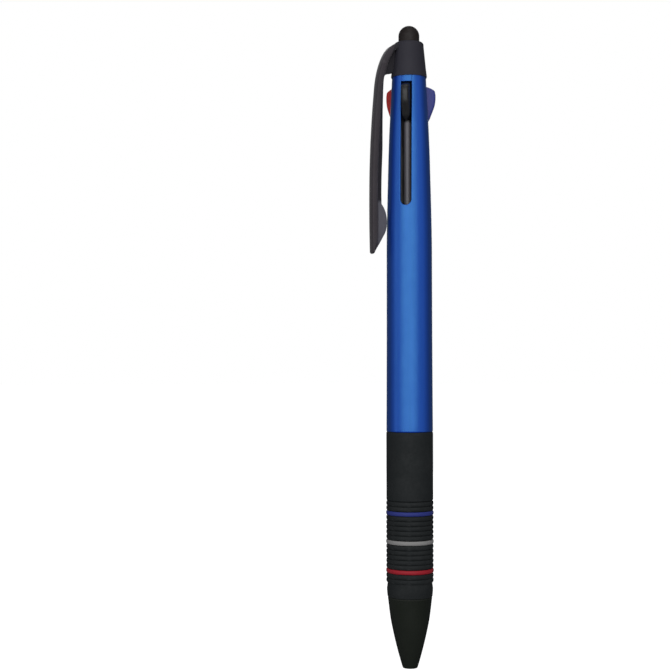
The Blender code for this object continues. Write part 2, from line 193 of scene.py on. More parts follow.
def smooth_outline(points, steps=4):
    """A smooth line through (radius, height) points, as such points."""
    return [tuple(p)[:2] for p in through([(r, z, 0) for r, z in points], steps)]


def rounded(corners, steps=4):
    """A closed outline with rounded corners (x, z, radius); a radius of 0 stays sharp."""
    outline = []
    for k, (x, z, radius) in enumerate(corners):
        here = Vector((x, z))
        before = Vector(corners[k - 1][:2]) - here
        after = Vector(corners[(k + 1) % len(corners)][:2]) - here
        if radius == 0:
            outline.append(here)
            continue
        reach = min(radius, 0.49 * before.length, 0.49 * after.length)
        start, end = here + before.normalized() * reach, here + after.normalized() * reach
        for step in range(steps + 1):
            t = step / steps
            outline.append((1 - t) ** 2 * start + 2 * t * (1 - t) * here + t**2 * end)
    return [tuple(point) for point in outline]


def skin(loops, closed=False):
    """A mesh over equal loops of points; its two ends are filled, or joined when it is closed."""
    bm = bmesh.new()
    rings = [[bm.verts.new(point) for point in loop] for loop in loops]
    for a, b in zip(rings, rings[1:] + (rings[:1] if closed else [])):
        for k in range(len(a)):
            bm.faces.new((a[k - 1], a[k], b[k], b[k - 1]))
    if not closed:
        bm.faces.new(rings[0])
        bm.faces.new(rings[-1])
    return tidy(bm)


def tidy(bm):
    """Weld what meets, drop what has no size, and point every face outwards."""
    bmesh.ops.remove_doubles(bm, verts=bm.verts, dist=WELD)
    bmesh.ops.dissolve_degenerate(bm, dist=WELD / 4, edges=bm.edges)
    bmesh.ops.recalc_face_normals(bm, faces=bm.faces)
    return bm


def turned(section, sides=ROUND_SIDES):
    """A closed section of (radius, height) points, turned about the pen's axis."""
    loops = []
    for angle in turns_of(sides):
        loops.append([(r * math.cos(angle), r * math.sin(angle), z) for r, z in section])
    return skin(loops, closed=True)


def soft_plate(outline, width, edge, steps=5):
    """An upright plate across Y with this outline in X and Z, its rims rounded by edge."""
    points = [Vector(p) for p in outline]
    area = sum(a.x * b.y - b.x * a.y for a, b in zip(points, points[1:] + points[:1]))
    inward = []
    for k in range(len(points)):
        along = (points[(k + 1) % len(points)] - points[k - 1]).normalized()
        inward.append(Vector((-along.y, along.x)) * math.copysign(1.0, area))
    layers = []
    for turn in reversed(quarter_turn(steps)):
        layers.append((-(width / 2 - edge + edge * math.sin(turn)), edge * (1 - math.cos(turn))))
    layers += [(-y, inset) for y, inset in reversed(layers)]
    loops = []
    for y, inset in layers:
        rim = [p + n * inset for p, n in zip(points, inward)]
        loops.append([(p.x, y, p.y) for p in rim])
    return skin(loops)


def moved(bm, out=0.0, angle=0.0):
    """bm pushed out along X and then turned about the pen's axis, in degrees."""
    bmesh.ops.translate(bm, verts=bm.verts, vec=(out, 0, 0))
    bmesh.ops.rotate(
        bm, verts=bm.verts, cent=(0, 0, 0), matrix=Matrix.Rotation(math.radians(angle), 3, "Z")
    )
    return bm


def loose_object(bm):
    """An object that holds bm, with no material yet."""
    mesh = bpy.data.meshes.new("shape")
    bm.to_mesh(mesh)
    bm.free()
    obj = bpy.data.objects.new("shape", mesh)
    bpy.context.scene.collection.objects.link(obj)
    return obj


def combined(first, others, operation="UNION"):
    """The first shape with the others joined on or cut away."""
    objects = [loose_object(bm) for bm in [first, *others]]
    for other in objects[1:]:
        modifier = objects[0].modifiers.new("combine", "BOOLEAN")
        modifier.operation = operation
        modifier.solver = "EXACT"
        modifier.object = other
    depsgraph = bpy.context.evaluated_depsgraph_get()
    mesh = bpy.data.meshes.new_from_object(objects[0].evaluated_get(depsgraph))
    bm = bmesh.new()
    bm.from_mesh(mesh)
    for obj in objects:
        bpy.data.objects.remove(obj)
    return tidy(bm)


def new_piece(name, bm, finish, node):
    """A finished piece, in metres in the frame, that stands for a CAD node and hides the node's part.
    """
    bmesh.ops.scale(bm, verts=bm.verts, vec=(MM, MM, MM))
    bmesh.ops.translate(bm, verts=bm.verts, vec=(0, 0, NOSE_END))
    mesh = bpy.data.meshes.new(name)
    bm.to_mesh(mesh)
    bm.free()
    mesh.shade_smooth()
    mesh.set_sharp_from_angle(angle=SHARP_ANGLE)
    mesh.materials.append(finish)
    piece = bpy.data.objects.new(name, mesh)
    bpy.context.scene.collection.objects.link(piece)
    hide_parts(node)
    return piece


def riding(name, bm, finish, node):
    """A finished piece that rides stiffly on its node's body."""
    piece = new_piece(name, bm, finish, node)
    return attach(piece, frame["nodes"][node]["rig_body"])


# ---------------------------------------------------------------- finishes


class Finish:
    """A procedural material: a Principled shader whose colour, roughness and surface vary finely."""

    def __init__(self, name, colour, roughness, metallic=0.0):
        self.material = bpy.data.materials.new(name)
        self.material.use_nodes = True
        self.nodes = self.material.node_tree.nodes
        self.links = self.material.node_tree.links
        self.shader = self.nodes["Principled BSDF"]
        self.shader.inputs["Base Color"].default_value = (*colour, 1)
        self.shader.inputs["Roughness"].default_value = roughness
        self.shader.inputs["Metallic"].default_value = metallic
        self.place = self.nodes.new("ShaderNodeTexCoord").outputs["Object"]

    def noise(self, grain_mm, detail=3.0, stretch=(1, 1, 1)):
        """Smooth noise whose grains are about grain_mm across."""
        mapping = self.nodes.new("ShaderNodeMapping")
        mapping.inputs["Scale"].default_value = stretch
        self.links.new(self.place, mapping.inputs["Vector"])
        noise = self.nodes.new("ShaderNodeTexNoise")
        noise.inputs["Scale"].default_value = 1 / (grain_mm * MM)
        noise.inputs["Detail"].default_value = detail
        self.links.new(mapping.outputs["Vector"], noise.inputs["Vector"])
        return noise.outputs["Fac"]

    def spread(self, source, low, high, start=0.3, end=0.7):
        """A value from low to high as the source goes from start to end."""
        ranged = self.nodes.new("ShaderNodeMapRange")
        limits = {"From Min": start, "From Max": end, "To Min": low, "To Max": high}
        for name, value in limits.items():
            ranged.inputs[name].default_value = value
        self.links.new(source, ranged.inputs["Value"])
        return ranged.outputs["Result"]

    def mix_colour(self, base, other, share):
        """The base colour, a tuple or a socket, turning to other by a share."""
        mix = self.nodes.new("ShaderNodeMix")
        mix.data_type = "RGBA"
        if isinstance(base, tuple):
            mix.inputs[6].default_value = (*base, 1)
        else:
            self.links.new(base, mix.inputs[6])
        mix.inputs[7].default_value = (*other, 1)
        self.links.new(share, mix.inputs[0])
        return mix.outputs[2]

    def product(self, one, other):
        """One value times another."""
        node = self.nodes.new("ShaderNodeMath")
        node.operation = "MULTIPLY"
        self.links.new(one, node.inputs[0])
        self.links.new(other, node.inputs[1])
        return node.outputs["Value"]

    def use_colour(self, source):
        """Base colour from a socket."""
        self.links.new(source, self.shader.inputs["Base Color"])
        return self

    def use_roughness(self, source):
        """Roughness from a socket."""
        self.links.new(source, self.shader.inputs["Roughness"])
        return self

    def bump(self, source, height_mm, strength=1.0):
        """Fine relief from a socket, up to height_mm high."""
        node = self.nodes.new("ShaderNodeBump")
        node.inputs["Strength"].default_value = strength
        node.inputs["Distance"].default_value = height_mm * MM
        self.links.new(source, node.inputs["Height"])
        self.links.new(node.outputs["Normal"], self.shader.inputs["Normal"])
        return self

    def edges(self):
        """Near 1 on worn outer edges and 0 elsewhere."""
        pointiness = self.nodes.new("ShaderNodeNewGeometry").outputs["Pointiness"]
        return self.spread(pointiness, 0.0, 1.0, 0.52, 0.62)

    def set(self, **values):
        """Shader values that are the same all over."""
        for name, value in values.items():
            self.shader.inputs[name.replace("_", " ")].default_value = value
        return self


def lighter(colour, share):
    """The colour taken a share of the way to white."""
    return tuple(c + (1 - c) * share for c in colour)


def soft_touch(name, colour, roughness):
    """Matt lacquered plastic: a fine even grain, faint clouds, and edges rubbed slightly bright."""
    finish = Finish(name, colour, roughness)
    cloud = finish.spread(finish.noise(6.0, 2.0), 0.0, 1.0)
    varied = finish.mix_colour(colour, lighter(colour, 0.004), cloud)
    finish.use_colour(finish.mix_colour(varied, lighter(colour, 0.02), finish.edges()))
    finish.use_roughness(finish.spread(finish.noise(1.5), roughness - 0.07, roughness + 0.07))
    finish.bump(finish.noise(0.09, 2.0), 0.012, 0.5)
    finish.set(Specular_IOR_Level=0.18)
    return finish.material


def clip_plastic(name, colour, painted_shade_colour, painted_highlight_colour):
    """The cap's soft plastic, with painted shade on the rib behind the outer band and a painted
    highlight on the bump.
    """
    finish = Finish(name, colour, 0.6)
    cloud = finish.spread(finish.noise(6.0, 2.0), 0.0, 1.0)
    varied = finish.mix_colour(colour, lighter(colour, 0.006), cloud)
    # Painted shade: the rib behind the band takes a darker colour that stands in for the shade the
    # band throws on it.
    behind = None
    for x, height, lean in BAND_BACK:
        slanted = finish.nodes.new("ShaderNodeVectorMath")
        slanted.operation = "DOT_PRODUCT"
        slanted.inputs[1].default_value = (1, 0, -lean)
        finish.links.new(finish.place, slanted.inputs[0])
        start = x * MM - lean * (NOSE_END + height * MM)
        side = finish.spread(slanted.outputs["Value"], 0.0, 1.0, start, start + 0.15 * MM)
        behind = finish.product(behind, side) if behind else side
    varied = finish.mix_colour(varied, painted_shade_colour, behind)
    # Painted highlight: the rib below the bump's top is made lighter, standing in for the light the
    # bump catches.
    up = finish.nodes.new("ShaderNodeSeparateXYZ")
    finish.links.new(finish.place, up.inputs["Vector"])
    bump_top = NOSE_END + BUMP_TOP * MM
    on_bump = finish.spread(up.outputs["Z"], 1.0, 0.0, bump_top, bump_top + 0.8 * MM)
    varied = finish.mix_colour(varied, painted_highlight_colour, finish.product(behind, on_bump))
    finish.use_colour(finish.mix_colour(varied, lighter(colour, 0.02), finish.edges()))
    finish.use_roughness(finish.spread(finish.noise(1.5), 0.52, 0.66))
    finish.bump(finish.noise(0.09, 2.0), 0.012, 0.5)
    finish.set(Specular_IOR_Level=0.2, Sheen_Weight=0.3, Sheen_Roughness=0.35)
    return finish.material


def rubber(name, colour, roughness):
    """Moulded rubber: soft grain, dusty patches and a dull sheen."""
    finish = Finish(name, colour, roughness)
    dust = finish.spread(finish.noise(3.0, 4.0), 0.0, 1.0, 0.45, 0.75)
    varied = finish.mix_colour(colour, lighter(colour, 0.006), dust)
    finish.use_colour(finish.mix_colour(varied, lighter(colour, 0.012), finish.edges()))
    finish.use_roughness(finish.spread(finish.noise(0.8), roughness - 0.08, roughness + 0.08))
    finish.bump(finish.noise(0.12, 3.0), 0.02, 0.6)
    finish.set(Specular_IOR_Level=0.2)
    return finish.material


def metallic_lacquer(name, colour):
    """Satin metallic paint: fine flakes in a deep colour, faint streaks along it, and painted shade at
    grazing angles.
    """
    finish = Finish(name, colour, 0.45, 0.15)
    flakes = finish.nodes.new("ShaderNodeTexVoronoi")
    flakes.inputs["Scale"].default_value = 1 / (0.07 * MM)
    finish.links.new(finish.place, flakes.inputs["Vector"])
    brightness = finish.spread(flakes.outputs["Distance"], 0.0, 1.0, 0.1, 0.8)
    varied = finish.mix_colour(colour, lighter(colour, 0.01), brightness)
    streak = finish.spread(finish.noise(1.2, 2.0, (1, 1, 0.05)), 0.0, 0.5)
    darker = tuple(c * 0.85 for c in colour)
    varied = finish.mix_colour(varied, darker, streak)
    # Painted shade: the colour turns to half its brightness towards grazing angles, standing in for
    # the barrel's darker rims.
    grazing = finish.nodes.new("ShaderNodeLayerWeight")
    edge = tuple(c * 0.5 for c in colour)
    grazing_shade_share = finish.spread(grazing.outputs["Facing"], 0.0, 1.0, 0.2, 0.48)
    finish.use_colour(finish.mix_colour(varied, edge, grazing_shade_share))
    finish.use_roughness(finish.spread(finish.noise(2.5, 3.0), 0.38, 0.44))
    finish.bump(flakes.outputs["Distance"], 0.004, 0.25)
    finish.set(IOR=1.56, Specular_IOR_Level=1.0, Specular_Tint=(0.3, 1.0, 0.8, 1))
    return finish.material


def moulded(name, colour, roughness=0.32):
    """Semi-gloss moulded plastic with faint flow marks."""
    finish = Finish(name, colour, roughness)
    flow = finish.spread(finish.noise(2.0, 3.0, (1, 1, 0.35)), 0.0, 1.0)
    varied = finish.mix_colour(colour, lighter(colour, 0.03), flow)
    finish.use_colour(finish.mix_colour(varied, lighter(colour, 0.12), finish.edges()))
    finish.use_roughness(finish.spread(finish.noise(0.9), roughness - 0.05, roughness + 0.07))
    finish.bump(finish.noise(0.25, 2.0), 0.006, 0.4)
    finish.set(Specular_IOR_Level=0.5, Coat_Weight=0.1, Coat_Roughness=0.2)
    return finish.material


def slider_plastic(name, colour, stem_painted_shading):
    """One moulding: a thumb button on a stem whose colour is painted light and shade; the black
    slider's light grey stem is a painted highlight.
    """
    finish = Finish(name, colour, 0.36)
    height = finish.nodes.new("ShaderNodeSeparateXYZ")
    finish.links.new(finish.place, height.inputs["Vector"])
    foot = NOSE_END + BUTTON_FRONT[0][1] * MM
    button = finish.spread(height.outputs["Z"], 0.0, 1.0, foot - 0.5 * MM, foot)
    # The stem takes its own painted light and shade, set apart from the button's colour below the
    # button's foot.
    varied = finish.mix_colour(stem_painted_shading, colour, button)
    finish.use_colour(finish.mix_colour(varied, lighter(colour, 0.1), finish.edges()))
    finish.use_roughness(finish.spread(finish.noise(0.9), 0.3, 0.44))
    finish.bump(finish.noise(0.25, 2.0), 0.006, 0.4)
    finish.set(Specular_IOR_Level=0.4)
    return finish.material


def ink_tube(name, colour):
    """A slightly see-through tube, filled with ink."""
    finish = Finish(name, colour, 0.22)
    streak = finish.spread(finish.noise(1.0, 2.0, (1, 1, 0.08)), 0.0, 1.0)
    finish.use_colour(finish.mix_colour(colour, lighter(colour, 0.08), streak))
    finish.use_roughness(finish.spread(finish.noise(0.6), 0.16, 0.3))
    finish.bump(finish.noise(0.4, 2.0, (1, 1, 0.1)), 0.004, 0.3)
    finish.set(Subsurface_Weight=0.15, Subsurface_Scale=0.0006, Coat_Weight=0.3, Coat_Roughness=0.1)
    return finish.material


def metal(name, colour, roughness, stretch):
    """Bare metal with marks from turning or drawing, and small dull patches."""
    finish = Finish(name, colour, roughness, 1.0)
    marks = finish.noise(0.15, 2.0, stretch)
    dull = finish.spread(finish.noise(0.7, 3.0), 0.0, 1.0, 0.4, 0.7)
    finish.use_colour(finish.mix_colour(colour, tuple(c * 0.7 for c in colour), dull))
    finish.use_roughness(finish.spread(marks, roughness - 0.06, roughness + 0.1))
    finish.bump(marks, 0.006, 0.35)
    return finish.material


BLACK = (0.0115, 0.014, 0.0148)
FINISHES = {
    "stylus": rubber("stylus_dome_rubber", (0.014, 0.0105, 0.0095), 0.5),
    "cap": soft_touch("soft_touch_black", (0.026, 0.025, 0.034), 0.6),
    # The clip's second colour is painted shade behind the band; its third is a painted highlight on
    # the bump.
    "clip": clip_plastic(
        "clip_soft_touch_black", (0.038, 0.032, 0.038), (0.019, 0.0175, 0.022), (0.108, 0.105, 0.122)
    ),
    "barrel": metallic_lacquer("blue_metallic_lacquer", (0.001, 0.038, 0.46)),
    "core": moulded("core_black_plastic", (0.012, 0.012, 0.013), 0.45),
    "plain": moulded("plain_moulded_plastic", (0.5, 0.5, 0.48), 0.5),
    # Each slider's last colour is its stem's painted light and shade; the black stem's light grey is a
    # painted highlight.
    "black": slider_plastic("slider_black_plastic", (0.007, 0.0072, 0.008), (0.105, 0.1, 0.11)),
    "blue": slider_plastic("slider_blue_plastic", (0.036, 0.046, 0.24), (0.05, 0.06, 0.24)),
    "red": slider_plastic("slider_red_plastic", (0.62, 0.013, 0.008), (0.45, 0.03, 0.02)),
    "spring": metal("spring_steel_wire", (0.55, 0.55, 0.57), 0.25, (1, 1, 1)),
    "point": metal("turned_brass", (0.62, 0.5, 0.27), 0.25, (0.2, 0.2, 4)),
    "ball": metal("ground_carbide", (0.5, 0.5, 0.52), 0.15, (1, 1, 1)),
    "grip": rubber("grip_rubber_black", BLACK, 0.7),
    "nose": soft_touch("nose_black_plastic", (0.0075, 0.0102, 0.0065), 0.65),
    "ring_blue": rubber("ring_rubber_blue", (0.024, 0.035, 0.2), 0.55),
    "ring_white": rubber("ring_rubber_white", (0.25, 0.247, 0.242), 0.6),
    "ring_red": rubber("ring_rubber_red", (0.33, 0.0125, 0.023), 0.55),
    "tube_black": ink_tube("ink_tube_black_plastic", (0.03, 0.03, 0.035)),
    "tube_blue": ink_tube("ink_tube_blue_plastic", (0.03, 0.05, 0.35)),
    "tube_red": ink_tube("ink_tube_red_plastic", (0.45, 0.03, 0.03)),
}


# ---------------------------------------------------------------- top end


def make_stylus():
    """A rubber dome with a short straight skirt, hollow where the stud fills it."""
    low, high = span("stylus_tip")
    radius = (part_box("stylus_tip")[1].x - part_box("stylus_tip")[0].x) / 2 / MM
    skirt_low = CAP_HIGH + 0.06
    centre = high - radius
    outside = [(radius - 0.14, skirt_low), (radius - 0.03, skirt_low + 0.05)]
    outside += [(radius, skirt_low + 0.18)]
    for turn in quarter_turn(18)[:-1]:
        outside.append((radius * math.cos(turn), centre + radius * math.sin(turn)))
    hollow, flange, wall = 1.58, radius - 0.09, 1.45
    section = [(0, high - wall), (hollow - 0.5, high - wall), (hollow, high - 1.8), (hollow, low)]
    section += [(flange, low), (flange, skirt_low)] + outside + [(0, high)]
    riding("stylus_dome", turned(section), FINISHES["stylus"], "stylus_tip")


def make_stud():
    """The stud that holds the dome: pressed into the cap up to its flange."""
    low, high = span("stylus_plug")
    stem, flange, head = 1.88, 2.28, 1.38
    flange_low, flange_high = CAP_HIGH + 0.1, CAP_HIGH + 0.5
    corners = [(0, low, 0), (stem, low, 0.25), (stem, flange_low, 0), (flange, flange_low, 0.05)]
    corners += [(flange, flange_high, 0.05), (head, flange_high, 0), (head, high, 0.3), (0, high, 0)]
    riding("stylus_stud", turned(rounded(corners)), FINISHES["plain"], "stylus_plug")


def make_cap():
    """The cap's skirt laps a little over the barrel's top."""
    lap, skirt_bore, neck_bore, stud_bore, step = 0.3, 4.0, 2.8, 2.0, 140.6
    rim_low = CAP_LOW - lap
    outside = [(4.14, rim_low + 0.1), (4.15, rim_low + 0.28), (4.1, 136.6), (3.92, 138.0)]
    outside += [(3.74, 139.8), (3.58, 141.4), (3.42, 143.0)]
    section = [(skirt_bore, CAP_LOW + lap), (skirt_bore, rim_low), (skirt_bore + 0.08, rim_low)]
    section += smooth_outline(outside)
    shoulder_start, shoulder = 3.4, 0.62
    for turn in quarter_turn(8)[1:]:
        height = CAP_HIGH - shoulder + shoulder * math.sin(turn)
        section.append((shoulder_start - shoulder * (1 - math.cos(turn)), height))
    section += [(stud_bore + 0.1, CAP_HIGH), (stud_bore, CAP_HIGH - 0.1), (stud_bore, step)]
    section += [(neck_bore, step), (neck_bore, CAP_LOW + lap)]
    riding("cap_shell", turned(section), FINISHES["cap"], "top_cap")


# ---------------------------------------------------------------- clip

# Side view of the clip, as distance from the axis and height
CLIP_OUTSIDE = [(2.7, 143.75), (4.0, 143.4), (5.1, 142.6), (6.0, 141.4), (6.75, 139.9)]
CLIP_OUTSIDE += [(7.35, 138.2), (7.85, 136.2), (8.2, 134.0), (8.48, 130.9), (8.78, 127.3)]
CLIP_OUTSIDE += [(9.05, 123.1), (9.22, 120.0), (9.42, 114.3), (9.5, 108.8), (9.5, 102.5)]
CLIP_OUTSIDE += [(9.42, 97.0), (9.36, 95.4)]
RIB_INSIDE = [(8.6, 95.5), (8.1, 96.3), (7.5, 97.2), (6.75, 98.5), (6.05, 99.8), (5.72, 100.8)]
RIB_INSIDE += [(5.6, 101.9), (5.62, 103.0), (5.8, 104.2), (6.15, 105.2), (6.52, 105.9)]
RIB_INSIDE += [(6.84, 106.4), (6.88, 107.2), (6.84, 111.0), (6.77, 114.0), (6.58, 119.0)]
RIB_INSIDE += [(6.55, 124.0), (6.5, 128.5), (6.36, 132.8), (6.2, 135.2), (5.98, 136.1)]
RIB_INSIDE += [(5.4, 136.45), (4.6, 136.6), (4.0, 136.85), (3.2, 137.3), (3.0, 139.0), (3.0, 143.2)]


def clip_band():
    """The outer band, swept down its outside line; it thins to a bevelled, rounded end."""
    line = through([(r, 0, z) for r, z in CLIP_OUTSIDE], 5)
    thickness, bevel_start, bevel_depth = 1.45, 98.3, 0.85
    root_half, narrowing, narrow_share = 1.62, 0.3, 0.8
    loops = []
    for k, point in enumerate(line):
        along = (line[min(k + 1, len(line) - 1)] - line[max(k - 1, 0)]).normalized()
        inward = Vector((-along.z, 0, along.x))
        if inward.x > 0:
            inward = -inward
        share = k / (len(line) - 1)
        half = root_half - narrowing * min(share / narrow_share, 1.0)
        thin = thickness
        if point.z < bevel_start:
            thin -= bevel_depth * (bevel_start - point.z) / (bevel_start - line[-1].z)
        loops.append(band_section(point, inward, half, thin))
    last = loops[-1]
    middle = sum(last, Vector()) / len(last)
    for sink, scale in ((0.22, 0.86), (0.38, 0.62), (0.45, 0.3)):
        loops.append([middle + (point - middle) * scale - Vector((0, 0, sink)) for point in last])
    return skin(loops)


def band_section(point, inward, half, thin):
    """A rounded oblong, crowned outside, from the outside point inwards."""
    edge, crown = 0.38, 0.12
    corners = [(-half, 0, edge), (half, 0, edge), (half, thin, edge), (-half, thin, edge)]
    loop = []
    for y, depth in rounded(corners):
        lift = crown * (y / half) ** 2 * (1 - depth / thin)
        loop.append(point + inward * (depth + lift) + Vector((0, y, 0)))
    return loop


def clip_rib():
    """The narrow rib behind the band: its bump faces the barrel, and its web meets the cap."""
    outside = radius_along([(r, z) for r, z in reversed(CLIP_OUTSIDE)])
    heights = (95.0, 106.0, 109.0, 130.0, 135.0)
    half_widths = (0.95, 0.95, 0.68, 0.68, 0.5)
    edge, sunk, taper, most_taper = 0.3, 0.35, 0.2, 0.4
    loops = []
    for near, _, z in through([(r, 0, z) for r, z in RIB_INSIDE], 4):
        far, half = outside(z) - sunk, float(np.interp(z, heights, half_widths))
        top = half - min(taper * (far - near), most_taper * half)
        soft = min(edge, (far - near) / 2, 0.8 * top)
        side = [(far, half)]
        for turn in quarter_turn(5):
            side.append((near + soft * (1 - math.sin(turn)), top - soft * (1 - math.cos(turn))))
        loops.append([(x, y, z) for x, y in side] + [(x, -y, z) for x, y in reversed(side)])
    return skin(loops)


def make_clip():
    """The clip's band and rib, joined and turned to the pen's -X side; the piece rides on no body."""
    bm = moved(combined(clip_band(), [clip_rib()]), angle=180)
    clip = new_piece("clip_spring_arm", bm, FINISHES["clip"], "clip_arm")
    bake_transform(clip)


# ---------------------------------------------------------------- barrel

# The wall is drawn as a net: "near" a slot by distance across, "far" from it by share of the rest
NEAR_HALF = 2.5
FAN_STEPS = 24
QUARTER_FAN = FAN_STEPS // 4
FAR_STEPS = 8
SECTOR_HALF = math.radians(60)
LIP = 0.3
LIP_DEPTH = 0.16


def slot_rings():
    """Distances out from a slot's side, each with how deep the rounded edge lies there."""
    rings = [(SLOT_EDGE * (1 - math.cos(a)), SLOT_EDGE * (1 - math.sin(a))) for a in quarter_turn(4)]
    reach = NEAR_HALF - SLOT_HALF
    return rings + [(SLOT_EDGE + (reach - SLOT_EDGE) * k / 3, 0.0) for k in (1, 2, 3)]


def fan_corner(step, ring):
    """A point of the net round a slot's lower end: a half circle, turning square further out."""
    gap, depth = ring
    turn = math.pi + math.pi * step / FAN_STEPS
    square = ((gap / (NEAR_HALF - SLOT_HALF)) ** 2) * (
        1 / max(abs(math.cos(turn)), abs(math.sin(turn))) - 1
    )
    reach = (SLOT_HALF + gap) * (1 + square)
    return ("near", reach * math.cos(turn), SLOT_LOW + SLOT_HALF + reach * math.sin(turn), depth)


def barrel_heights():
    """Rows below a slot's end, beside it, and above it."""
    centre = SLOT_LOW + SLOT_HALF
    lip = [BARREL_LOW + LIP * (1 - math.cos(turn)) for turn in quarter_turn(5)]
    body = list(np.linspace(BARREL_LOW + LIP, centre - NEAR_HALF, 34))[1:]
    beside = [fan_corner(k, (NEAR_HALF - SLOT_HALF, 0.0))[2] for k in range(QUARTER_FAN, -1, -1)]
    above = list(np.linspace(centre, BARREL_HIGH, 22))
    return lip + body, beside, above


def pairs(values):
    """Each value with the next one."""
    return list(zip(values, values[1:]))


def cell(kind, y0, y1, z0, z1, d0=0, d1=0):
    """Four corners of the net between two places across and two heights."""
    return [(kind, y0, z0, d0), (kind, y1, z0, d1), (kind, y1, z1, d1), (kind, y0, z1, d0)]


def barrel_net():
    """A third of the wall as four-cornered cells, and the edges where outside meets inside."""
    below, beside, above = barrel_heights()
    rings = slot_rings()
    columns = [fan_corner(k, rings[-1])[1] for k in range(QUARTER_FAN, 3 * QUARTER_FAN + 1)]
    rows = below + beside[1:] + above[1:]
    shares = [1 + k / FAR_STEPS for k in range(FAR_STEPS + 1)]
    cells = [cell("near", y0, y1, z0, z1) for z0, z1 in pairs(below) for y0, y1 in pairs(columns)]
    rims = [(("near", y0, below[0], 0), ("near", y1, below[0], 0)) for y0, y1 in pairs(columns)]
    for side in (-1, 1):
        for t0, t1 in pairs(shares):
            cells += [cell("far", side * t0, side * t1, z0, z1) for z0, z1 in pairs(rows)]
            rims += [(("far", side * t0, z, 0), ("far", side * t1, z, 0)) for z in (rows[0], rows[-1])]
        for (g0, d0), (g1, d1) in pairs(rings):
            y0, y1 = side * (SLOT_HALF + g0), side * (SLOT_HALF + g1)
            cells += [cell("near", y0, y1, z0, z1, d0, d1) for z0, z1 in pairs(above)]
            rims.append((("near", y0, above[-1], d0), ("near", y1, above[-1], d1)))
        edge, depth = side * (SLOT_HALF + rings[0][0]), rings[0][1]
        rims += [(("near", edge, z0, depth), ("near", edge, z1, depth)) for z0, z1 in pairs(above)]
    for k in range(FAN_STEPS):
        for inner, outer in pairs(rings):
            here, there = (inner, outer), (outer, inner)
            cells.append([fan_corner(k, r) for r in here] + [fan_corner(k + 1, r) for r in there])
        rims.append((fan_corner(k, rings[0]), fan_corner(k + 1, rings[0])))
    return cells, rims


def barrel_point(corner, radius, slot_angle):
    """Where a corner of the net lies on a wall of this radius."""
    kind, across, height, depth = corner
    if kind == "near":
        angle = math.asin(across / radius)
    else:
        start = math.asin(NEAR_HALF / radius)
        angle = math.copysign(start + (abs(across) - 1) * (SECTOR_HALF - start), across)
    angle += math.radians(slot_angle)
    inwards = Vector((math.cos(math.radians(slot_angle)), math.sin(math.radians(slot_angle)), 0))
    return Vector((radius * math.cos(angle), radius * math.sin(angle), height)) - inwards * depth


def make_barrel():
    """The lower lip is rounded; slots have rounded edges and a round lower end."""
    outer_line, inner_line = radius_along(BARREL_OUTSIDE), radius_along(BARREL_INSIDE)

    def outside(z):
        left = max(0.0, LIP - (z - BARREL_LOW)) / LIP
        return outer_line(z) - LIP_DEPTH * (1 - math.sqrt(max(0.0, 1 - left**2)))

    cells, rims = barrel_net()
    bm = bmesh.new()
    for slot_angle in SLIDER_ANGLES.values():
        for corners in cells:
            bm.faces.new([bm.verts.new(barrel_point(c, outside(c[2]), slot_angle)) for c in corners])
            flat = [(kind, y, z, 0) for kind, y, z, _ in corners]
            bm.faces.new([bm.verts.new(barrel_point(c, inner_line(c[2]), slot_angle)) for c in flat])
        for a, b in rims:
            wall = [barrel_point(c, outside(c[2]), slot_angle) for c in (a, b)]
            inner = [(kind, y, z, 0) for kind, y, z, _ in (b, a)]
            wall += [barrel_point(c, inner_line(c[2]), slot_angle) for c in inner]
            bm.faces.new([bm.verts.new(p) for p in wall])
    riding("barrel_shell", tidy(bm), FINISHES["barrel"], "upper_barrel")


def slot_key():
    """One key: a block whose face follows the barrel, its sides and lower end rounded."""
    outer_line = radius_along(BARREL_OUTSIDE)
    half, edge, root = SLOT_HALF - 0.015, 0.05, 2.5
    turns = quarter_turn(4)
    sides = [(half - edge * (1 - math.sin(a)), edge * (1 - math.cos(a))) for a in turns]
    ys = [(-y, d) for y, d in reversed(sides)] + [(0.0, 0.0)] + sides
    rows = [(KEY_LOW + edge * (1 - math.cos(a)), edge * (1 - math.sin(a))) for a in turns]
    rows += [(z, 0.0) for z in np.linspace(KEY_LOW + 2 * edge, BARREL_HIGH - 0.1, 5)]
    loops = []
    for z, sunk in rows:
        radius = outer_line(z)
        face = [(math.sqrt(radius**2 - y**2) - max(depth, sunk), y, z) for y, depth in ys]
        loops.append(face + [(root, half, z), (root, -half, z)])
    return skin(loops)


def make_key_ring():
    """A ring in the barrel's top with a neck up into the cap and a key in the top of each slot."""
    bore, neck, body, body_high = 2.0, 2.7, 2.95, BARREL_HIGH - 0.05
    corners = [(bore, KEY_LOW, 0.1), (body, KEY_LOW, 0.1), (body, body_high, 0.1)]
    corners += [(neck, body_high, 0), (neck, NECK_HIGH, 0.2), (bore, NECK_HIGH, 0.1)]
    keys = [moved(slot_key(), angle=angle) for angle in SLIDER_ANGLES.values()]
    ring = combined(turned(rounded(corners)), keys)
    riding("slot_keys", ring, FINISHES["barrel"], "slot_key_ring")


